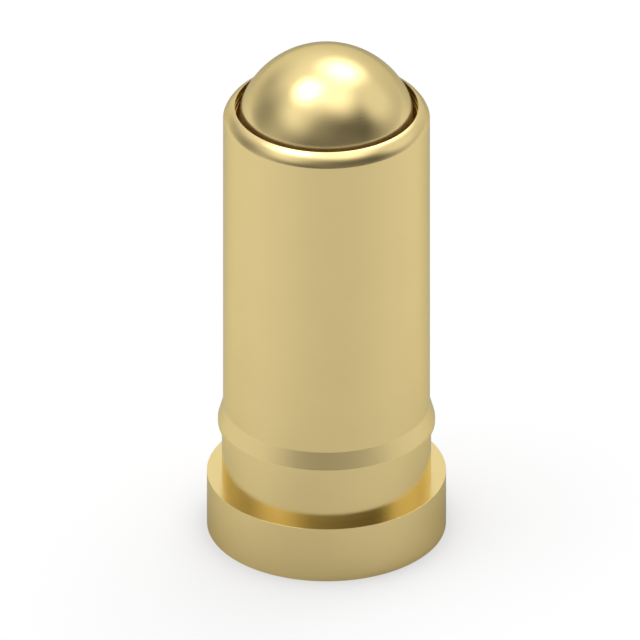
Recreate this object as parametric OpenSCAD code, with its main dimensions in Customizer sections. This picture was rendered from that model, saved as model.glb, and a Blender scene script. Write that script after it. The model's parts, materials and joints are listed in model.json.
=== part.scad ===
// Spring-loaded contact pin: a turned barrel with a solder flange, a plunger
// held in by the rolled lip, and the coil spring that pushes it out.
// Millimetres. +Z runs along the pin, and z = 0 is the underside of the flange.

/* [Barrel] */
// Outside diameter of the plain upper barrel
barrel_d = 1.80; // [1.70:0.01:1.90]
// Height of the barrel from the underside of its flange to the top of its lip
barrel_h = 4.17; // [3.80:0.01:6.00]
// Wall between the bore and the outside of the barrel
wall = 0.06; // [0.05:0.005:0.09]
// Metal left under the bore
floor_t = 0.45; // [0.30:0.01:0.60]
// Fillet round the floor of the bore
floor_fillet = 0.08; // [0.04:0.01:0.10]
// Diameter of the drill mark in the middle of the floor
floor_mark_d = 0.50; // [0.20:0.01:0.60]

/* [Flange] */
// Diameter of the solder flange
flange_d = 2.08; // [2.02:0.01:2.60]
// Thickness of the solder flange
flange_h = 0.52; // [0.30:0.01:0.80]

/* [Press fit] */
// How far the seat above the flange stands out from the upper barrel
seat_step = 0.01; // [0.005:0.005:0.02]
// Length of the seat, which is the thickness of housing that the barb holds
seat_l = 0.50; // [0.30:0.01:0.90]
// How far the edge of the barb stands out from the upper barrel
barb_step = 0.045; // [0.03:0.005:0.06]
// Width of the straight land on the barb
barb_land = 0.035; // [0.02:0.005:0.06]
// Length of the cone that leads up from the barb to the barrel
barb_cone_l = 0.16; // [0.10:0.01:0.30]

/* [Rolled lip] */
// How far the lip reaches in over the bore
lip_reach = 0.04; // [0.03:0.005:0.05]
// Height over which the outside of the barrel rolls in
lip_h = 0.11; // [0.08:0.01:0.15]
// Radius of the roll
lip_r = 0.175; // [0.12:0.005:0.30]
// Height of the straight mouth round the plunger
mouth_h = 0.07; // [0.04:0.01:0.10]
// Height of the cone under the lip that stops the collar
catch_h = 0.05; // [0.02:0.01:0.08]

/* [Plunger] */
// How far the straight side of the nose stands above the lip at rest
nose_out = 0.01; // [0:0.01:0.40]
// Height of the domed end above that straight side
dome_h = 0.52; // [0.30:0.01:0.70]
// Rounding between the dome and the side of the nose
nose_fillet = 0.10; // [0.03:0.01:0.15]
// Gap all round between the nose and the mouth of the barrel
mouth_gap = 0.05; // [0.03:0.005:0.08]
// Running clearance all round between the collar and the bore
run_gap = 0.015; // [0.01:0.005:0.02]
// Clearance between the collar and the lip at rest
stop_gap = 0.02; // [0.01:0.005:0.03]
// Length of the collar that slides in the bore
collar_l = 1.75; // [1.50:0.01:2.20]
// Chamfer round the lower end of the collar
collar_chamfer = 0.04; // [0.02:0.01:0.06]
// Width of the flat round the top of the collar
collar_land = 0.01; // [0.005:0.005:0.02]
// Height of the relief groove between the nose and the collar
neck_h = 0.25; // [0.15:0.01:0.35]
// Depth of that groove below the side of the nose
neck_depth = 0.07; // [0.04:0.01:0.10]

/* [Spring] */
// Wall left round the hole that is drilled into the tail for the spring
tail_wall = 0.15; // [0.10:0.01:0.22]
// Depth of that hole, up to the flat ring that the spring bears on
hole_h = 1.20; // [0.80:0.01:1.40]
// Chamfer round the mouth of that hole
hole_chamfer = 0.04; // [0.02:0.01:0.05]
// Diameter of the drill mark in the end of that hole
hole_mark_d = 0.50; // [0.20:0.01:0.60]
// Clearance all round between the spring and its hole
spring_gap = 0.03; // [0.02:0.005:0.06]
// Diameter of the spring wire
wire_d = 0.16; // [0.12:0.01:0.18]
// Open turns between the closed turn at each end
open_turns = 8; // [5:1:10]
// Gap between a closed turn and the next turn
closed_gap = 0.01; // [0.005:0.005:0.02]

/* [Hidden] */
$fn = 180;
GOLD = [0.84, 0.76, 0.54];
STEEL = [0.74, 0.75, 0.78];

// Half of the included angle of a drill's point
DRILL_HALF_ANGLE = 59;
// Straight pieces in each rounded corner of a turned outline, and in the dome
CORNER_STEPS = 10;
DOME_STEPS = 28;
// Sides of the spring wire, and rings of points in each of its turns
WIRE_SIDES = 12;
RINGS = 20;

// Barrel, outside
barrel_r = barrel_d / 2;
flange_r = flange_d / 2;
seat_r = barrel_r + seat_step;
barb_r = barrel_r + barb_step;
barb_z = flange_h + seat_l;
barb_top_z = barb_z + barb_land + barb_cone_l;

// Barrel, inside: the mouth, the cone under the lip, and the bore
bore_r = barrel_r - wall;
mouth_r = bore_r - lip_reach;
mouth_z = barrel_h - mouth_h;
catch_slope = catch_h / lip_reach;
floor_mark_r = floor_mark_d / 2;

// Plunger: its nose clears the mouth, and its collar follows the cone under the lip
nose_r = mouth_r - mouth_gap;
tip_z = barrel_h + nose_out + dome_h;
dome_r = (nose_r * nose_r + dome_h * dome_h) / (2 * dome_h);
dome_z = tip_z - dome_r;
fillet_r = nose_r - nose_fillet;
fillet_z = dome_z + sqrt(pow(dome_r - nose_fillet, 2) - fillet_r * fillet_r);
fillet_start = atan2(fillet_z - dome_z, fillet_r);
collar_r = bore_r - run_gap;
collar_z = mouth_z - stop_gap;
collar_edge_z = collar_z - (collar_r - mouth_r) * catch_slope;
neck_r = nose_r - neck_depth;
tail_z = collar_z - collar_l;
hole_r = collar_r - tail_wall;
hole_mark_r = hole_mark_d / 2;
hole_z = tail_z + hole_h;

// Spring: it stands on the floor of the bore and bears on the end of the hole
wire_r = wire_d / 2;
coil_r = hole_r - spring_gap - wire_r;
turns = open_turns + 2;
closed_pitch = wire_d + closed_gap;
open_pitch = (hole_z - floor_t - 2 * closed_pitch) / open_turns;

// Points on an arc about centre c, from angle a to angle b
function arc(c, r, a, b, steps) = [
    for (i = [0 : steps])
        let (angle = a + (b - a) * i / steps)
        c + r * [cos(angle), sin(angle)]
];

// Centre of the arc of radius r that bulges outwards from p up to q
function arc_centre(p, q, r) =
    let (chord = q - p, half = norm(chord) / 2)
    (p + q) / 2 + sqrt(r * r - half * half) * [-chord.y, chord.x] / norm(chord);

// Angle of point p as seen from centre c
function angle_at(c, p) = atan2(p.y - c.y, p.x - c.x);

// Depth of the cone that a drill leaves at radius r
function drill_point(r) = r / tan(DRILL_HALF_ANGLE);

// Half section of the barrel: flange, seat, barb, body, rolled lip and blind bore
module barrel_section() {
    lip_foot = [barrel_r, barrel_h - lip_h];
    lip_top = [mouth_r, barrel_h];
    lip_c = arc_centre(lip_foot, lip_top, lip_r);
    floor_c = [bore_r - floor_fillet, floor_t + floor_fillet];
    polygon(concat(
        [
            [0, 0],
            [flange_r, 0],
            [flange_r, flange_h],
            [seat_r, flange_h],
            [seat_r, barb_z],
            [barb_r, barb_z],
            [barb_r, barb_z + barb_land],
            [barrel_r, barb_top_z],
        ],
        arc(lip_c, lip_r, angle_at(lip_c, lip_foot), angle_at(lip_c, lip_top), CORNER_STEPS),
        [
            [mouth_r, mouth_z],
            [bore_r, mouth_z - catch_h],
        ],
        arc(floor_c, floor_fillet, 0, -90, CORNER_STEPS),
        [
            [floor_mark_r, floor_t],
            [0, floor_t - drill_point(floor_mark_r)],
        ]
    ));
}

// Half section of the plunger: dome, nose, groove, collar, tail and the hole for the spring
module plunger_section() {
    polygon(concat(
        [
            [0, hole_z + drill_point(hole_mark_r)],
            [hole_mark_r, hole_z],
            [hole_r, hole_z],
            [hole_r, tail_z + hole_chamfer],
            [hole_r + hole_chamfer, tail_z],
            [collar_r - collar_chamfer, tail_z],
            [collar_r, tail_z + collar_chamfer],
            [collar_r, collar_edge_z],
            [mouth_r, collar_z],
            [mouth_r - collar_land, collar_z],
            [neck_r, collar_z - neck_h],
            [neck_r, collar_z - neck_depth],
            [nose_r, collar_z],
        ],
        arc([fillet_r, fillet_z], nose_fillet, 0, fillet_start, CORNER_STEPS),
        arc([0, dome_z], dome_r, fillet_start, 90, DOME_STEPS)
    ));
}

// Height of the middle of the wire after t turns
function wire_z(t) =
    t < 1 ? floor_t + closed_pitch * t :
    t > turns - 1 ? hole_z - closed_pitch * (turns - t) :
    floor_t + closed_pitch + open_pitch * (t - 1);

// One ring of points round the wire after t turns, ground flat at both ends of the spring
function wire_ring(t) = [
    for (j = [0 : WIRE_SIDES - 1])
        let (
            side = 360 * j / WIRE_SIDES,
            r = coil_r + wire_r * cos(side),
            z = wire_z(t) + wire_r * sin(side)
        )
        [r * cos(360 * t), r * sin(360 * t), min(max(z, floor_t), hole_z)]
];

// Triangles that close a ring of points, all from one corner of it
function cap(first, corner, flip) = [
    for (k = [1 : WIRE_SIDES - 2])
        let (
            a = first + (corner + k) % WIRE_SIDES,
            b = first + (corner + k + 1) % WIRE_SIDES
        )
        flip ? [first + corner, b, a] : [first + corner, a, b]
];

module barrel() {
    color(GOLD) rotate_extrude() barrel_section();
}

module plunger() {
    color(GOLD) rotate_extrude() plunger_section();
}

module spring() {
    last = turns * RINGS;
    points = [
        for (i = [0 : last])
            each wire_ring(i / RINGS)
    ];
    sides = [
        for (i = [0 : last - 1], j = [0 : WIRE_SIDES - 1])
            let (
                a = i * WIRE_SIDES + j,
                b = i * WIRE_SIDES + (j + 1) % WIRE_SIDES,
                c = a + WIRE_SIDES,
                d = b + WIRE_SIDES
            )
            each [[a, b, d], [a, d, c]]
    ];
    // Each cap spreads from the side of the wire that isn't ground
    foot = cap(0, WIRE_SIDES / 4, true);
    top = cap(last * WIRE_SIDES, WIRE_SIDES * 3 / 4, false);
    color(STEEL) polyhedron(points = points, faces = concat(sides, foot, top));
}

barrel();
plunger();
spring();
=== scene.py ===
"""Spring-loaded contact pin: a gold-plated barrel and plunger with a steel spring between them."""

import json
import math

import bmesh
import bpy
from bpy.props import FloatProperty, FloatVectorProperty, IntProperty, PointerProperty
from mathutils import Matrix, Vector


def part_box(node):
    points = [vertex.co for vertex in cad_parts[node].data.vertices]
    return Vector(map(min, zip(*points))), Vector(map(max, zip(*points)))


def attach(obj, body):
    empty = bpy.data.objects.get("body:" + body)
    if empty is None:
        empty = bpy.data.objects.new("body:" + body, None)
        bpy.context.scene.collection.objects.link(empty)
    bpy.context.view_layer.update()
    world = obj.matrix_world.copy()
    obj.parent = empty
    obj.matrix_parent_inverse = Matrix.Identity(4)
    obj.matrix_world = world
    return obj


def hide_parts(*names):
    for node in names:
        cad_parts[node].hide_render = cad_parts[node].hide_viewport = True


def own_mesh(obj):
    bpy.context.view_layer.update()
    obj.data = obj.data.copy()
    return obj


bl_info = {
    "name": "Contact pin",
    "version": (1, 0, 0),
    "blender": (4, 5, 0),
    "location": "3D View > Sidebar > Contact pin",
    "description": "Turns the barrel and plunger of a contact pin and coils its spring",
    "category": "Add Mesh",
}

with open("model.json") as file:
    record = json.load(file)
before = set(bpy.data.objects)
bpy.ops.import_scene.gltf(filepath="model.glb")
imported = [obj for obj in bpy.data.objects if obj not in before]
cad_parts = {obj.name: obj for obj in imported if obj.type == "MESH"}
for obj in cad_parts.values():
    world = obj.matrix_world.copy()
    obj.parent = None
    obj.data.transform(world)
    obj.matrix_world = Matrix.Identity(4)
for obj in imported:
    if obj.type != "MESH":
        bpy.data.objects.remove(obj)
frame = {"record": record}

MM = 0.001
MICRON = 0.000001

# Points closer than this are one point
MERGE_DISTANCE = 0.01 * MICRON

# Half of the included angle of a drill's point
DRILL_HALF_ANGLE = math.radians(59)

# Edges that turn by more than this keep a hard line in shading
SHARP_ANGLE = math.radians(35)

# Distance from a corner to the point that keeps its faces straight, in edge breaks,
# and its longest share of a line
HOLD = 2
LONGEST_HOLD = 0.4

# Straight pieces in each arc of an outline, and in the rounding of a turned edge
LIP_STEPS = 12
FLOOR_FILLET_STEPS = 10
NOSE_FILLET_STEPS = 8
DOME_STEPS = 48
EDGE_SEGMENTS = 4

barrel_low, barrel_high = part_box("barrel")
plunger_low, plunger_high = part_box("plunger")
spring_low, spring_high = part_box("spring")
housing_barrel = next(
    mount for mount in frame["record"]["mounts"] if mount["name"] == "housing_barrel"
)


# ---------------------------------------------------------------- sizes and finishes


class BarrelSizes(bpy.types.PropertyGroup):
    """Sizes of the barrel. Heights are above the underside of its flange."""

    radius: FloatProperty(
        name="Radius",
        description="Outside radius of the plain upper barrel",
        default=housing_barrel["dims"]["r_mm"] * MM,
        unit="LENGTH",
        precision=6,
    )
    height: FloatProperty(
        name="Height",
        description="Height of the top of the rolled lip",
        default=barrel_high.z,
        unit="LENGTH",
        precision=6,
    )
    flange_radius: FloatProperty(
        name="Flange radius",
        description="Radius of the solder flange",
        default=barrel_high.x,
        unit="LENGTH",
        precision=6,
    )
    flange_height: FloatProperty(
        name="Flange height",
        description="Thickness of the solder flange",
        default=0.52 * MM,
        unit="LENGTH",
        precision=6,
    )
    seat_step: FloatProperty(
        name="Seat step",
        description="How far the seat above the flange stands out from the upper barrel",
        default=0.01 * MM,
        unit="LENGTH",
        precision=6,
    )
    seat_length: FloatProperty(
        name="Seat length",
        description="Length of the seat between the flange and the barb",
        default=0.50 * MM,
        unit="LENGTH",
        precision=6,
    )
    barb_step: FloatProperty(
        name="Barb step",
        description="How far the edge of the barb stands out from the upper barrel",
        default=0.045 * MM,
        unit="LENGTH",
        precision=6,
    )
    barb_land: FloatProperty(
        name="Barb land",
        description="Width of the straight land on the barb",
        default=0.035 * MM,
        unit="LENGTH",
        precision=6,
    )
    barb_cone: FloatProperty(
        name="Barb cone",
        description="Length of the cone that leads up from the barb to the barrel",
        default=0.16 * MM,
        unit="LENGTH",
        precision=6,
    )
    lip_height: FloatProperty(
        name="Lip height",
        description="Height over which the outside of the barrel rolls in",
        default=0.11 * MM,
        unit="LENGTH",
        precision=6,
    )
    lip_radius: FloatProperty(
        name="Lip roll radius",
        description="Radius of the roll at the top of the barrel",
        default=0.175 * MM,
        unit="LENGTH",
        precision=6,
    )
    mouth_radius: FloatProperty(
        name="Mouth radius",
        description="Radius of the mouth round the plunger",
        default=0.80 * MM,
        unit="LENGTH",
        precision=6,
    )
    mouth_height: FloatProperty(
        name="Mouth height",
        description="Height of the straight mouth under the lip",
        default=0.07 * MM,
        unit="LENGTH",
        precision=6,
    )
    catch_height: FloatProperty(
        name="Catch height",
        description="Height of the cone under the lip that stops the collar",
        default=0.05 * MM,
        unit="LENGTH",
        precision=6,
    )
    bore_radius: FloatProperty(
        name="Bore radius",
        description="Radius of the bore",
        default=0.84 * MM,
        unit="LENGTH",
        precision=6,
    )
    floor_fillet: FloatProperty(
        name="Floor fillet",
        description="Fillet round the floor of the bore",
        default=0.08 * MM,
        unit="LENGTH",
        precision=6,
    )
    floor_mark: FloatProperty(
        name="Drill mark",
        description="Radius of the drill mark in the floor of the bore",
        default=0.25 * MM,
        unit="LENGTH",
        precision=6,
    )


class PlungerSizes(bpy.types.PropertyGroup):
    """Sizes of the plunger. The collar slides in the bore, and the nose stands out of the mouth."""

    nose_radius: FloatProperty(
        name="Nose radius",
        description="Radius of the nose that passes through the mouth",
        default=0.75 * MM,
        unit="LENGTH",
        precision=6,
    )
    dome_height: FloatProperty(
        name="Dome height",
        description="Height of the domed end above the straight side of the nose",
        default=0.52 * MM,
        unit="LENGTH",
        precision=6,
    )
    nose_fillet: FloatProperty(
        name="Nose fillet",
        description="Rounding between the dome and the side of the nose",
        default=0.10 * MM,
        unit="LENGTH",
        precision=6,
    )
    collar_top: FloatProperty(
        name="Collar top",
        description="Height of the top of the collar at rest",
        default=4.08 * MM,
        unit="LENGTH",
        precision=6,
    )
    collar_chamfer: FloatProperty(
        name="Collar chamfer",
        description="Chamfer round the lower end of the collar",
        default=0.04 * MM,
        unit="LENGTH",
        precision=6,
    )
    collar_land: FloatProperty(
        name="Collar land",
        description="Width of the flat round the top of the collar",
        default=0.01 * MM,
        unit="LENGTH",
        precision=6,
    )
    neck_height: FloatProperty(
        name="Neck height",
        description="Height of the relief groove between the nose and the collar",
        default=0.25 * MM,
        unit="LENGTH",
        precision=6,
    )
    neck_depth: FloatProperty(
        name="Neck depth",
        description="Depth of that groove below the side of the nose",
        default=0.07 * MM,
        unit="LENGTH",
        precision=6,
    )
    hole_radius: FloatProperty(
        name="Hole radius",
        description="Radius of the hole in the tail for the spring",
        default=0.675 * MM,
        unit="LENGTH",
        precision=6,
    )
    hole_chamfer: FloatProperty(
        name="Hole chamfer",
        description="Chamfer round the mouth of that hole",
        default=0.04 * MM,
        unit="LENGTH",
        precision=6,
    )
    hole_mark: FloatProperty(
        name="Drill mark",
        description="Radius of the drill mark in the end of that hole",
        default=0.25 * MM,
        unit="LENGTH",
        precision=6,
    )


class SpringSizes(bpy.types.PropertyGroup):
    """Sizes of the spring. It stands on the floor of the bore and bears on the end of the hole."""

    wire_radius: FloatProperty(
        name="Wire radius",
        description="Radius of the spring wire",
        default=0.08 * MM,
        unit="LENGTH",
        precision=6,
    )
    open_turns: IntProperty(
        name="Open turns",
        description="Open turns between the closed turn at each end",
        default=8,
        min=1,
    )
    closed_pitch: FloatProperty(
        name="Closed pitch",
        description="Rise of the closed turn at each end",
        default=0.17 * MM,
        unit="LENGTH",
        precision=6,
    )
    travel: FloatProperty(
        name="Travel",
        description="How far the plunger shortens the spring at the end of its stroke",
        default=0.45 * MM,
        unit="LENGTH",
        precision=6,
    )


class MakingSteps(bpy.types.PropertyGroup):
    """How finely the pieces are turned and coiled."""

    edge_break: FloatProperty(
        name="Edge break",
        description="Rounding left on each turned edge",
        default=0.002 * MM,
        unit="LENGTH",
        precision=6,
    )
    turning_steps: IntProperty(
        name="Turning steps",
        description="Flats round each turned piece",
        default=256,
        min=16,
    )
    coiling_steps: IntProperty(
        name="Coiling steps",
        description="Flats in each turn of the spring",
        default=64,
        min=12,
    )
    wire_steps: IntProperty(
        name="Wire steps",
        description="Flats round the spring wire",
        default=20,
        min=6,
    )


class Finishes(bpy.types.PropertyGroup):
    """Colours and surface of the plating and of the spring wire."""

    gold: FloatVectorProperty(
        name="Gold",
        description="Colour of the gold plating",
        default=(0.78, 0.62, 0.29),
        subtype="COLOR",
        min=0.0,
        max=1.0,
    )
    gold_roughness: FloatProperty(
        name="Gold roughness",
        description="Roughness of the plating between its turning marks",
        default=0.20,
        subtype="FACTOR",
        min=0.0,
        max=1.0,
    )
    gold_unevenness: FloatProperty(
        name="Gold unevenness",
        description="How much lighter and darker the plating is in soft clouds",
        default=0.015,
        subtype="FACTOR",
        min=0.0,
        max=1.0,
    )
    recess_dullness: FloatProperty(
        name="Recess dullness",
        description="How much rougher the plating is low on the side of the nose",
        default=0.25,
        subtype="FACTOR",
        min=0.0,
        max=1.0,
    )
    tool_line_spacing: FloatProperty(
        name="Tool line spacing",
        description="Spacing of the lines that the tool leaves",
        default=0.012 * MM,
        unit="LENGTH",
        precision=6,
    )
    tool_line_depth: FloatProperty(
        name="Tool line depth",
        description="Depth of the lines that the tool leaves",
        default=0.015 * MICRON,
        unit="LENGTH",
        precision=6,
    )
    gold_edge: FloatVectorProperty(
        name="Gold edge tint",
        description="Tint of the plating where it is seen almost edge on",
        default=(0.95, 0.90, 0.68),
        subtype="COLOR",
        min=0.0,
        max=1.0,
    )
    steel: FloatVectorProperty(
        name="Steel",
        description="Colour of the drawn spring wire",
        default=(0.58, 0.57, 0.55),
        subtype="COLOR",
        min=0.0,
        max=1.0,
    )
    steel_roughness: FloatProperty(
        name="Steel roughness",
        description="Roughness of the drawn spring wire",
        default=0.30,
        subtype="FACTOR",
        min=0.0,
        max=1.0,
    )
    steel_unevenness: FloatProperty(
        name="Steel unevenness",
        description="How much lighter and darker the wire is in soft clouds",
        default=0.06,
        subtype="FACTOR",
        min=0.0,
        max=1.0,
    )
    steel_edge: FloatVectorProperty(
        name="Steel edge tint",
        description="Tint of the wire where it is seen almost edge on",
        default=(1.0, 1.0, 1.0),
        subtype="COLOR",
        min=0.0,
        max=1.0,
    )
    die_line_spacing: FloatProperty(
        name="Die line spacing",
        description="Spacing of the lines that the drawing die leaves",
        default=0.008 * MM,
        unit="LENGTH",
        precision=6,
    )
    die_line_depth: FloatProperty(
        name="Die line depth",
        description="Depth of the lines that the drawing die leaves",
        default=0.06 * MICRON,
        unit="LENGTH",
        precision=6,
    )


# ---------------------------------------------------------------- turning and coiling


class TurnedOutline:
    """Half section of a turned piece, drawn as a wire from point to point in the XZ plane."""

    def __init__(self, radius, height, edge_break):
        self.bm = bmesh.new()
        self.last = self.bm.verts.new((radius, 0.0, height))
        self.edge_break = edge_break
        self.corners = []

    def step(self, place):
        """Draw an edge to a place."""
        point = self.bm.verts.new(place)
        self.bm.edges.new((self.last, point))
        self.last = point

    def line(self, radius, height, broken=True):
        """Draw a straight line to a point. A broken corner is rounded before the spin."""
        start = self.last.co.copy()
        end = Vector((radius, 0.0, height))
        # A point close to each end keeps the face between them straight in shading
        hold = min(HOLD * self.edge_break / (end - start).length, LONGEST_HOLD)
        self.step(start.lerp(end, hold))
        self.step(start.lerp(end, 1 - hold))
        self.step(end)
        if broken:
            self.corners.append(self.last)

    def arc(self, radius, height, angle, steps):
        """Turn the last point about a centre. A positive angle turns +Z towards +X."""
        turned = bmesh.ops.spin(
            self.bm,
            geom=[self.last],
            cent=(radius, 0.0, height),
            axis=(0.0, 1.0, 0.0),
            dvec=(0.0, 0.0, 0.0),
            angle=angle,
            steps=steps,
            use_merge=False,
            use_duplicate=False,
        )
        self.last = next(
            item for item in turned["geom_last"] if isinstance(item, bmesh.types.BMVert)
        )

    def spin_round(self, steps):
        """Break the outside corners and spin the outline round Z."""
        bmesh.ops.bevel(
            self.bm,
            geom=self.corners,
            offset=self.edge_break,
            offset_type="OFFSET",
            segments=EDGE_SEGMENTS,
            profile=0.5,
            affect="VERTICES",
            material=-1,
        )
        bmesh.ops.spin(
            self.bm,
            geom=self.bm.verts[:] + self.bm.edges[:],
            cent=(0.0, 0.0, 0.0),
            axis=(0.0, 0.0, 1.0),
            dvec=(0.0, 0.0, 0.0),
            angle=math.tau,
            steps=steps,
            use_merge=True,
            use_duplicate=False,
        )
        return self.bm


def finished_piece(name, bm, material, body, node):
    """Turn a closed bmesh into an object that stands for a node and rides on its body."""
    bmesh.ops.remove_doubles(bm, verts=bm.verts, dist=MERGE_DISTANCE)
    bmesh.ops.recalc_face_normals(bm, faces=bm.faces)
    if any(not edge.is_manifold for edge in bm.edges):
        bm.free()
        raise RuntimeError(f"{name} isn't closed")
    for face in bm.faces:
        face.smooth = True
    for edge in bm.edges:
        edge.smooth = edge.calc_face_angle() < SHARP_ANGLE
    mesh = bpy.data.meshes.new(name)
    bm.to_mesh(mesh)
    bm.free()
    mesh.materials.append(material)
    piece = bpy.data.objects.new(name, mesh)
    bpy.context.scene.collection.objects.link(piece)
    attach(piece, body)
    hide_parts(node)
    return piece


def drill_point(radius):
    """Depth of the cone that a drill leaves at a radius."""
    return radius / math.tan(DRILL_HALF_ANGLE)


# ---------------------------------------------------------------- materials


def add_node(tree, kind, settings=None, inputs=None):
    """Add a node with its settings, and set or link its inputs by name or place."""
    node = tree.nodes.new(kind)
    for name, value in (settings or {}).items():
        setattr(node, name, value)
    for key, value in (inputs or {}).items():
        if isinstance(value, bpy.types.NodeSocket):
            tree.links.new(value, node.inputs[key])
        else:
            node.inputs[key].default_value = value
    return node


def math_node(tree, operation, *values):
    """Add a Math node and return its output."""
    inputs = dict(enumerate(values))
    return add_node(tree, "ShaderNodeMath", {"operation": operation}, inputs).outputs[0]


def fading(tree, value, start, end):
    """A mask that fades smoothly from 1 to 0 while a value goes from start to end."""
    return add_node(
        tree,
        "ShaderNodeMapRange",
        {"interpolation_type": "SMOOTHSTEP"},
        {"Value": value, "From Min": start, "From Max": end, "To Min": 1.0, "To Max": 0.0},
    ).outputs["Result"]


def noise(tree, dimensions, place, scale, detail, roughness):
    """Add a Noise Texture and return its value."""
    return add_node(
        tree,
        "ShaderNodeTexNoise",
        {"noise_dimensions": dimensions},
        {"Vector": place, "Scale": scale, "Detail": detail, "Roughness": roughness},
    ).outputs[0]


# The side of the nose down in the mouth of the barrel, where the plating comes out duller:
# its widest radius and its top, and how far it fades past each, in millimetres
RECESS_RADIUS = 0.76
RECESS_EDGE = 0.008
RECESS_TOP = barrel_high.z / MM - 0.005
RECESS_FADE = 0.05

# Soft clouds and fine grain over the lines, in repeats per millimetre
CLOUD_SCALE = 2.5
GRAIN_SCALE = 90.0

# Values of the clouds that come out darkest and lightest
CLOUD_DARK = 0.3
CLOUD_LIGHT = 0.7

# Middle value of a noise, how much the lines and the clouds change the roughness about it,
# and how much the grain adds to the relief of the lines
NOISE_MIDDLE = 0.5
LINE_ROUGHNESS = 0.10
CLOUD_ROUGHNESS = 0.08
GRAIN_SHARE = 0.5


def worked_surface_group():
    """Fine lines round Z left by the tool or the drawing die, with a soft unevenness over them."""
    group = bpy.data.node_groups.new("worked_surface", "ShaderNodeTree")
    # Spacing in millimetres, and depth in microns
    for name, default in (
        ("Line spacing", 0.01),
        ("Line depth", 0.02),
        ("Roughness", 0.2),
        ("Recess dullness", 0.0),
    ):
        socket = group.interface.new_socket(name, in_out="INPUT", socket_type="NodeSocketFloat")
        socket.default_value = default
    for name, kind in (
        ("Shade", "NodeSocketFloat"),
        ("Roughness", "NodeSocketFloat"),
        ("Normal", "NodeSocketVector"),
    ):
        group.interface.new_socket(name, in_out="OUTPUT", socket_type=kind)
    given = group.nodes.new("NodeGroupInput")
    result = group.nodes.new("NodeGroupOutput")

    # Object coordinates in millimetres, and the same point as radius and height
    place = add_node(group, "ShaderNodeTexCoord").outputs["Object"]
    millimetres = add_node(
        group, "ShaderNodeVectorMath", {"operation": "SCALE"}, {0: place, "Scale": 1 / MM}
    ).outputs["Vector"]
    parts = add_node(group, "ShaderNodeSeparateXYZ", inputs={0: millimetres})
    across = math_node(
        group,
        "SQRT",
        math_node(
            group,
            "ADD",
            math_node(group, "POWER", parts.outputs["X"], 2.0),
            math_node(group, "POWER", parts.outputs["Y"], 2.0),
        ),
    )
    section_place = add_node(
        group, "ShaderNodeCombineXYZ", inputs={"X": across, "Y": parts.outputs["Z"]}
    ).outputs[0]

    line_scale = math_node(group, "DIVIDE", 1.0, given.outputs["Line spacing"])
    lines = noise(group, "2D", section_place, line_scale, detail=2.0, roughness=0.6)
    clouds = noise(group, "3D", millimetres, CLOUD_SCALE, detail=3.0, roughness=0.5)
    grain = noise(group, "3D", millimetres, GRAIN_SCALE, detail=1.0, roughness=0.5)

    shade = add_node(
        group,
        "ShaderNodeMapRange",
        inputs={
            "Value": clouds,
            "From Min": CLOUD_DARK,
            "From Max": CLOUD_LIGHT,
            "To Min": 0.0,
            "To Max": 1.0,
        },
    ).outputs["Result"]
    roughness = given.outputs["Roughness"]
    for pattern, amount in ((lines, LINE_ROUGHNESS), (clouds, CLOUD_ROUGHNESS)):
        change = math_node(group, "SUBTRACT", pattern, NOISE_MIDDLE)
        roughness = math_node(
            group, "ADD", roughness, math_node(group, "MULTIPLY", change, amount)
        )
    recess = math_node(
        group,
        "MULTIPLY",
        fading(group, across, RECESS_RADIUS, RECESS_RADIUS + RECESS_EDGE),
        fading(group, parts.outputs["Z"], RECESS_TOP, RECESS_TOP + RECESS_FADE),
    )
    dullness = math_node(group, "MULTIPLY", recess, given.outputs["Recess dullness"])
    roughness = math_node(group, "ADD", roughness, dullness)
    relief = math_node(group, "ADD", lines, math_node(group, "MULTIPLY", grain, GRAIN_SHARE))
    depth = math_node(group, "MULTIPLY", given.outputs["Line depth"], MICRON)
    normal = add_node(
        group, "ShaderNodeBump", inputs={"Strength": 1.0, "Distance": depth, "Height": relief}
    ).outputs["Normal"]

    group.links.new(shade, result.inputs["Shade"])
    group.links.new(roughness, result.inputs["Roughness"])
    group.links.new(normal, result.inputs["Normal"])
    return group


def metal(name, colour, edge, unevenness, inputs):
    """Make a bare metal with the fine lines of its making, lighter and darker in soft clouds."""
    worked = bpy.data.node_groups.get("worked_surface") or worked_surface_group()
    material = bpy.data.materials.new(name)
    material.use_nodes = True
    tree = material.node_tree
    surface = tree.nodes["Principled BSDF"]
    marks = add_node(tree, "ShaderNodeGroup", {"node_tree": worked}, inputs).outputs
    dark = Vector(colour) * (1 - unevenness)
    light = Vector(colour) * (1 + unevenness)
    tone = add_node(
        tree,
        "ShaderNodeMix",
        {"data_type": "RGBA"},
        {"Factor": marks["Shade"], "A": (*dark, 1.0), "B": (*light, 1.0)},
    ).outputs["Result"]
    tree.links.new(tone, surface.inputs["Base Color"])
    tree.links.new(marks["Roughness"], surface.inputs["Roughness"])
    tree.links.new(marks["Normal"], surface.inputs["Normal"])
    surface.inputs["Metallic"].default_value = 1.0
    surface.inputs["Specular Tint"].default_value = (*edge, 1.0)
    return material


def gold_plating(finishes):
    """Bright gold over the turned brass, which the barrel and the plunger share."""
    return bpy.data.materials.get("gold_plating") or metal(
        "gold_plating",
        finishes.gold,
        finishes.gold_edge,
        finishes.gold_unevenness,
        {
            "Line spacing": finishes.tool_line_spacing / MM,
            "Line depth": finishes.tool_line_depth / MICRON,
            "Roughness": finishes.gold_roughness,
            "Recess dullness": finishes.recess_dullness,
        },
    )


def spring_steel(finishes):
    """Drawn stainless wire, with the lines of the die along it."""
    return metal(
        "spring_steel",
        finishes.steel,
        finishes.steel_edge,
        finishes.steel_unevenness,
        {
            "Line spacing": finishes.die_line_spacing / MM,
            "Line depth": finishes.die_line_depth / MICRON,
            "Roughness": finishes.steel_roughness,
            "Recess dullness": 0.0,
        },
    )


# ---------------------------------------------------------------- pieces


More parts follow.
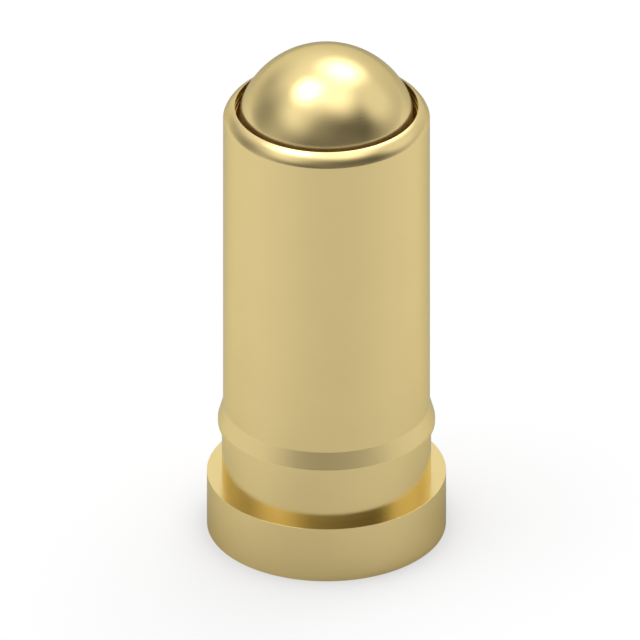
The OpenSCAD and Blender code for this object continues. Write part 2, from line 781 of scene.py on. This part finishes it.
class CONTACT_PIN_OT_turn_barrel(bpy.types.Operator):
    """Turn the barrel with its flange, seat, barb, rolled lip and blind bore"""

    bl_idname = "contact_pin.turn_barrel"
    bl_label = "Turn barrel"

    def execute(self, context):
        sizes = context.scene.contact_pin_barrel
        steps = context.scene.contact_pin_steps
        floor = spring_low.z
        seat_radius = sizes.radius + sizes.seat_step
        barb_radius = sizes.radius + sizes.barb_step
        barb = sizes.flange_height + sizes.seat_length
        lip_foot = Vector((sizes.radius, sizes.height - sizes.lip_height))
        lip_top = Vector((sizes.mouth_radius, sizes.height))
        chord = lip_top - lip_foot
        sag = math.sqrt(sizes.lip_radius**2 - (chord.length / 2) ** 2)
        centre = (lip_foot + lip_top) / 2 + sag * Vector((-chord.y, chord.x)) / chord.length
        roll = 2 * math.asin(chord.length / 2 / sizes.lip_radius)

        outline = TurnedOutline(0.0, 0.0, steps.edge_break)
        outline.line(sizes.flange_radius, 0.0)
        outline.line(sizes.flange_radius, sizes.flange_height)
        outline.line(seat_radius, sizes.flange_height, broken=False)
        outline.line(seat_radius, barb, broken=False)
        outline.line(barb_radius, barb)
        outline.line(barb_radius, barb + sizes.barb_land)
        outline.line(sizes.radius, barb + sizes.barb_land + sizes.barb_cone, broken=False)
        outline.line(*lip_foot)
        outline.arc(*centre, -roll, LIP_STEPS)
        outline.line(sizes.mouth_radius, sizes.height - sizes.mouth_height)
        outline.line(
            sizes.bore_radius, sizes.height - sizes.mouth_height - sizes.catch_height, broken=False
        )
        outline.line(sizes.bore_radius, floor + sizes.floor_fillet, broken=False)
        outline.arc(
            sizes.bore_radius - sizes.floor_fillet,
            floor + sizes.floor_fillet,
            math.pi / 2,
            FLOOR_FILLET_STEPS,
        )
        outline.line(sizes.floor_mark, floor)
        outline.line(0.0, floor - drill_point(sizes.floor_mark), broken=False)
        finished_piece(
            "turned_barrel",
            outline.spin_round(steps.turning_steps),
            gold_plating(context.scene.contact_pin_finishes),
            "barrel_body",
            "barrel",
        )
        return {"FINISHED"}


class CONTACT_PIN_OT_turn_plunger(bpy.types.Operator):
    """Turn the plunger with its domed nose, relief groove, collar and the hole for the spring"""

    bl_idname = "contact_pin.turn_plunger"
    bl_label = "Turn plunger"

    def execute(self, context):
        sizes = context.scene.contact_pin_plunger
        barrel = context.scene.contact_pin_barrel
        steps = context.scene.contact_pin_steps
        collar_radius = plunger_high.x
        tail = plunger_low.z
        tip = plunger_high.z
        hole_end = spring_high.z
        catch_slope = barrel.catch_height / (barrel.bore_radius - barrel.mouth_radius)
        collar_edge = sizes.collar_top - (collar_radius - barrel.mouth_radius) * catch_slope
        neck_radius = sizes.nose_radius - sizes.neck_depth
        dome_radius = (sizes.nose_radius**2 + sizes.dome_height**2) / (2 * sizes.dome_height)
        dome_centre = tip - dome_radius
        fillet_radius = sizes.nose_radius - sizes.nose_fillet
        fillet_centre = dome_centre + math.sqrt(
            (dome_radius - sizes.nose_fillet) ** 2 - fillet_radius**2
        )
        fillet_turn = math.atan2(fillet_centre - dome_centre, fillet_radius)

        outline = TurnedOutline(0.0, hole_end + drill_point(sizes.hole_mark), steps.edge_break)
        outline.line(sizes.hole_mark, hole_end)
        outline.line(sizes.hole_radius, hole_end)
        outline.line(sizes.hole_radius, tail + sizes.hole_chamfer)
        outline.line(sizes.hole_radius + sizes.hole_chamfer, tail)
        outline.line(collar_radius - sizes.collar_chamfer, tail)
        outline.line(collar_radius, tail + sizes.collar_chamfer)
        outline.line(collar_radius, collar_edge)
        outline.line(barrel.mouth_radius, sizes.collar_top, broken=False)
        outline.line(barrel.mouth_radius - sizes.collar_land, sizes.collar_top, broken=False)
        outline.line(neck_radius, sizes.collar_top - sizes.neck_height, broken=False)
        outline.line(neck_radius, sizes.collar_top - sizes.neck_depth, broken=False)
        outline.line(sizes.nose_radius, sizes.collar_top)
        outline.line(sizes.nose_radius, fillet_centre, broken=False)
        outline.arc(fillet_radius, fillet_centre, -fillet_turn, NOSE_FILLET_STEPS)
        outline.arc(0.0, dome_centre, fillet_turn - math.pi / 2, DOME_STEPS)
        finished_piece(
            "turned_plunger",
            outline.spin_round(steps.turning_steps),
            gold_plating(context.scene.contact_pin_finishes),
            "plunger_body",
            "plunger",
        )
        return {"FINISHED"}


class CONTACT_PIN_OT_coil_spring(bpy.types.Operator):
    """Coil the spring, close its end turns and grind both ends flat"""

    bl_idname = "contact_pin.coil_spring"
    bl_label = "Coil spring"

    def execute(self, context):
        sizes = context.scene.contact_pin_spring
        steps = context.scene.contact_pin_steps
        foot = spring_low.z
        top = spring_high.z
        coil_radius = spring_high.x - sizes.wire_radius
        open_pitch = (top - foot - 2 * sizes.closed_pitch) / sizes.open_turns

        bm = bmesh.new()
        bmesh.ops.create_circle(
            bm,
            cap_ends=True,
            radius=sizes.wire_radius,
            segments=steps.wire_steps,
            matrix=(
                Matrix.Translation((coil_radius, 0.0, foot)) @ Matrix.Rotation(math.pi / 2, 4, "X")
            ),
        )
        ring = bm.edges[:]
        for turns, pitch in (
            (1, sizes.closed_pitch),
            (sizes.open_turns, open_pitch),
            (1, sizes.closed_pitch),
        ):
            spun = bmesh.ops.spin(
                bm,
                geom=ring,
                cent=(0.0, 0.0, 0.0),
                axis=(0.0, 0.0, 1.0),
                dvec=(0.0, 0.0, pitch / steps.coiling_steps),
                angle=math.tau * turns,
                steps=turns * steps.coiling_steps,
                use_merge=False,
                use_duplicate=False,
            )
            ring = [item for item in spun["geom_last"] if isinstance(item, bmesh.types.BMEdge)]
        bmesh.ops.contextual_create(bm, geom=ring)

        for height, cut_above in ((foot, False), (top, True)):
            cut = bmesh.ops.bisect_plane(
                bm,
                geom=bm.verts[:] + bm.edges[:] + bm.faces[:],
                dist=MERGE_DISTANCE,
                plane_co=(0.0, 0.0, height),
                plane_no=(0.0, 0.0, 1.0),
                clear_outer=cut_above,
                clear_inner=not cut_above,
            )
            rim = [item for item in cut["geom_cut"] if isinstance(item, bmesh.types.BMEdge)]
            bmesh.ops.contextual_create(bm, geom=rim)

        spring = finished_piece(
            "coiled_spring",
            bm,
            spring_steel(context.scene.contact_pin_finishes),
            "barrel_body",
            "spring",
        )
        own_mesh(spring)
        return {"FINISHED"}


# ---------------------------------------------------------------- stage


def direction(azimuth, elevation):
    """Direction from the pin at an azimuth from the front towards +X, and an elevation."""
    level = math.cos(elevation)
    return Vector((level * math.sin(azimuth), -level * math.cos(azimuth), math.sin(elevation)))


def soft_patch_group():
    """A soft round patch about a middle direction, with its radius and blur in degrees."""
    group = bpy.data.node_groups.new("soft_patch", "ShaderNodeTree")
    for name, kind in (
        ("Direction", "NodeSocketVector"),
        ("Middle", "NodeSocketVector"),
        ("Radius", "NodeSocketFloat"),
        ("Blur", "NodeSocketFloat"),
    ):
        group.interface.new_socket(name, in_out="INPUT", socket_type=kind)
    group.interface.new_socket("Mask", in_out="OUTPUT", socket_type="NodeSocketFloat")
    given = group.nodes.new("NodeGroupInput").outputs
    result = group.nodes.new("NodeGroupOutput")
    along = add_node(
        group,
        "ShaderNodeVectorMath",
        {"operation": "DOT_PRODUCT"},
        {0: given["Direction"], 1: given["Middle"]},
    ).outputs["Value"]
    away = math_node(group, "DEGREES", math_node(group, "ARCCOSINE", along))
    mask = fading(
        group,
        away,
        math_node(group, "SUBTRACT", given["Radius"], given["Blur"]),
        math_node(group, "ADD", given["Radius"], given["Blur"]),
    )
    group.links.new(mask, result.inputs["Mask"])
    return group


def patched(tree, patch, toward, brightness, patches):
    """Lay soft patches over a brightness, each one over those before it."""
    for name, azimuth, elevation, radius, blur, strength in patches:
        mask = add_node(
            tree,
            "ShaderNodeGroup",
            {"node_tree": patch, "name": name},
            {
                "Direction": toward,
                "Middle": direction(math.radians(azimuth), math.radians(elevation)),
                "Radius": radius,
                "Blur": blur,
            },
        ).outputs["Mask"]
        brightness = add_node(
            tree,
            "ShaderNodeMix",
            {"data_type": "FLOAT"},
            {"Factor": mask, "A": brightness, "B": strength},
        ).outputs["Result"]
    return brightness


# Brightness of the studio walls, and the soft patches on them. Each patch has its azimuth,
# elevation, radius and blur in degrees, and its brightness
WALL_BRIGHTNESS = 0.71
WALL_PATCHES = (
    ("back_wall", 214.0, 62.0, 49.0, 40.0, 1.12),
    ("front_flag", -11.0, 40.0, 48.0, 32.0, 0.07),
    ("low_flag", 55.0, 20.0, 24.0, 40.0, 0.06),
    ("left_flag", -98.0, 16.0, 21.0, 17.0, 0.35),
    ("left_fill", -47.0, 49.0, 26.0, 15.0, 1.21),
    ("ceiling", 35.0, 76.0, 24.0, 17.0, 1.74),
    ("left_glow", -88.0, 70.0, 7.0, 18.0, 7.6),
    ("rear_glow", 152.0, 58.0, 6.0, 25.0, 6.9),
    ("right_fill", 99.0, 35.0, 21.0, 11.0, 0.97),
    ("rear_flag", -132.0, 21.0, 6.0, 30.0, 0.23),
    ("front_haze", -7.0, 33.0, 19.0, 28.0, 0.31),
)

# The same for the floor that the pin mirrors, with painted shade that makes it darker to the front
# and to the back
FLOOR_SHADE = 0.70
FLOOR_PATCHES = (
    ("front_shade", 12.0, 0.0, 52.5, 52.5, 0.57),
    ("rear_shade", 178.0, 0.0, 34.0, 34.0, 0.36),
)

# Close behind the pin and beside it a painted contact shadow makes that floor darker still. A patch
# says by how much at the contact radius, and the fade is the power by which it falls off with the
# distance
CONTACT_SHADOW_PATCHES = (("rear_contact_shadow", 180.0, 0.0, 100.0, 48.0, 0.66),)
CONTACT_SHADOW_RADIUS = 1.07 * MM
CONTACT_SHADOW_FADE = 1.7

# The floor that the camera looks at: its paint, how much of it is plain white light, and the
# narrow painted shadow in the corner between the flange and the floor
FLOOR_PAINT = (0.80, 0.805, 0.82, 1.0)
FLOOR_GLOW = 0.6
CORNER_SHADOW = 0.45
CORNER_FADE = 8.0

WHITE = (1.0, 1.0, 1.0, 1.0)
BLACK = (0.0, 0.0, 0.0, 1.0)

# The floor is a disc, a hair below the underside of the flange
FLOOR_RADIUS = 400 * MM
FLOOR_SIDES = 96
FLOOR_DROP = 0.5 * MICRON

# The camera looks down at the pin from the front, without perspective
CAMERA_ELEVATION = math.radians(30)
CAMERA_DISTANCE = 50 * MM
CAMERA_NEAR = 1 * MM
CAMERA_FAR = 2.0
VIEW_WIDTH = 5.566 * MM
VIEW_MIDDLE = Vector((-0.0565 * MM, 0.0, 2.0246 * MM))

# How many times gold mirrors in gold, so that the narrow groove round the nose glows
GLOSSY_BOUNCES = 12


def studio_world(patch):
    """Pale walls with dark flags and soft glows, plain white where the camera looks at them."""
    world = bpy.data.worlds.new("studio")
    world.use_nodes = True
    tree = world.node_tree
    tree.nodes.clear()
    toward = add_node(tree, "ShaderNodeTexCoord").outputs["Generated"]
    brightness = patched(tree, patch, toward, WALL_BRIGHTNESS, WALL_PATCHES)
    walls = add_node(
        tree, "ShaderNodeBackground", inputs={"Color": WHITE, "Strength": brightness}
    ).outputs[0]
    white = add_node(
        tree, "ShaderNodeBackground", inputs={"Color": WHITE, "Strength": 1.0}
    ).outputs[0]
    seen = add_node(tree, "ShaderNodeLightPath").outputs["Is Camera Ray"]
    mixed = add_node(tree, "ShaderNodeMixShader", inputs={0: seen, 1: walls, 2: white})
    tree.links.new(
        mixed.outputs[0], add_node(tree, "ShaderNodeOutputWorld").inputs["Surface"]
    )
    return world


def floor_surface(patch):
    """Matt floor, near white with the pin's real shadow and a painted corner shadow to the camera,
    and with painted shade where the gold mirrors it.
    """
    material = bpy.data.materials.new("studio_floor")
    material.use_nodes = True
    tree = material.node_tree
    tree.nodes.clear()
    place = add_node(tree, "ShaderNodeTexCoord").outputs["Object"]
    toward = add_node(
        tree, "ShaderNodeVectorMath", {"operation": "NORMALIZE"}, {0: place}
    ).outputs["Vector"]
    # Painted shade on the floor that the gold mirrors: darker to the front and behind the pin
    shade = patched(tree, patch, toward, FLOOR_SHADE, FLOOR_PATCHES)
    # Painted contact shadow on the mirrored floor, close behind the pin and beside it
    contact = patched(tree, patch, toward, 0.0, CONTACT_SHADOW_PATCHES)
    distance = add_node(
        tree, "ShaderNodeVectorMath", {"operation": "LENGTH"}, {0: place}
    ).outputs["Value"]
    near = math_node(tree, "MINIMUM", math_node(tree, "DIVIDE", CONTACT_SHADOW_RADIUS, distance), 1.0)
    fade = math_node(tree, "POWER", near, CONTACT_SHADOW_FADE)
    kept = math_node(tree, "SUBTRACT", 1.0, math_node(tree, "MULTIPLY", contact, fade))
    shade = math_node(tree, "MULTIPLY", shade, kept)
    mirrored = add_node(tree, "ShaderNodeBsdfDiffuse", inputs={"Color": shade}).outputs[0]

    # Painted shadow in the corner between the flange and the floor, darkening the paint close to
    # the pin
    corner = math_node(
        tree, "MULTIPLY", CORNER_SHADOW, math_node(tree, "POWER", near, CORNER_FADE)
    )
    paint = add_node(
        tree,
        "ShaderNodeMix",
        {"data_type": "RGBA"},
        {"Factor": corner, "A": FLOOR_PAINT, "B": BLACK},
    ).outputs["Result"]
    matt = add_node(tree, "ShaderNodeBsdfDiffuse", inputs={"Color": paint}).outputs[0]
    white = add_node(
        tree, "ShaderNodeEmission", inputs={"Color": WHITE, "Strength": 1.0}
    ).outputs[0]
    lit = add_node(
        tree, "ShaderNodeMixShader", inputs={0: FLOOR_GLOW, 1: matt, 2: white}
    ).outputs[0]
    seen = add_node(tree, "ShaderNodeLightPath").outputs["Is Camera Ray"]
    mixed = add_node(tree, "ShaderNodeMixShader", inputs={0: seen, 1: mirrored, 2: lit})
    tree.links.new(
        mixed.outputs[0], add_node(tree, "ShaderNodeOutputMaterial").inputs["Surface"]
    )
    return material


def lay_floor(patch):
    """Lay a wide disc under the pin."""
    bm = bmesh.new()
    bmesh.ops.create_circle(
        bm,
        cap_ends=True,
        radius=FLOOR_RADIUS,
        segments=FLOOR_SIDES,
        matrix=Matrix.Translation((0.0, 0.0, -FLOOR_DROP)),
    )
    mesh = bpy.data.meshes.new("floor")
    bm.to_mesh(mesh)
    bm.free()
    mesh.materials.append(floor_surface(patch))
    floor = bpy.data.objects.new("floor", mesh)
    bpy.context.scene.collection.objects.link(floor)


def place_camera():
    """Place the camera in front of the pin and above it."""
    camera_data = bpy.data.cameras.new("camera")
    camera_data.type = "ORTHO"
    camera_data.ortho_scale = VIEW_WIDTH
    camera_data.clip_start = CAMERA_NEAR
    camera_data.clip_end = CAMERA_FAR
    camera = bpy.data.objects.new("camera", camera_data)
    camera.location = VIEW_MIDDLE + CAMERA_DISTANCE * direction(0.0, CAMERA_ELEVATION)
    camera.rotation_euler = (math.pi / 2 - CAMERA_ELEVATION, 0.0, 0.0)
    bpy.context.scene.collection.objects.link(camera)
    bpy.context.scene.camera = camera


class CONTACT_PIN_OT_set_stage(bpy.types.Operator):
    """Lay the floor, paint the studio walls and place the camera"""

    bl_idname = "contact_pin.set_stage"
    bl_label = "Set stage"

    def execute(self, context):
        patch = soft_patch_group()
        lay_floor(patch)
        context.scene.world = studio_world(patch)
        place_camera()
        context.scene.view_settings.view_transform = "Standard"
        context.scene.cycles.glossy_bounces = GLOSSY_BOUNCES
        return {"FINISHED"}


class VIEW3D_PT_contact_pin(bpy.types.Panel):
    """Lists the steps that make the pin and its stage"""

    bl_idname = "VIEW3D_PT_contact_pin"
    bl_label = "Contact pin"
    bl_space_type = "VIEW_3D"
    bl_region_type = "UI"
    bl_category = "Contact pin"

    def draw(self, context):
        column = self.layout.column(align=True)
        for operator in OPERATORS:
            column.operator(operator.bl_idname)


OPERATORS = (
    CONTACT_PIN_OT_turn_barrel,
    CONTACT_PIN_OT_turn_plunger,
    CONTACT_PIN_OT_coil_spring,
    CONTACT_PIN_OT_set_stage,
)
SETTINGS = {
    "contact_pin_barrel": BarrelSizes,
    "contact_pin_plunger": PlungerSizes,
    "contact_pin_spring": SpringSizes,
    "contact_pin_steps": MakingSteps,
    "contact_pin_finishes": Finishes,
}


def register():
    for cls in (*SETTINGS.values(), *OPERATORS, VIEW3D_PT_contact_pin):
        bpy.utils.register_class(cls)
    for name, cls in SETTINGS.items():
        setattr(bpy.types.Scene, name, PointerProperty(type=cls))


def unregister():
    for name in SETTINGS:
        delattr(bpy.types.Scene, name)
    for cls in reversed((*SETTINGS.values(), *OPERATORS, VIEW3D_PT_contact_pin)):
        bpy.utils.unregister_class(cls)


def main():
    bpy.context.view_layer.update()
    register()
    bpy.ops.contact_pin.turn_barrel()
    bpy.ops.contact_pin.turn_plunger()
    bpy.ops.contact_pin.coil_spring()
    bpy.ops.contact_pin.set_stage()


if __name__ == "__main__":
    main()
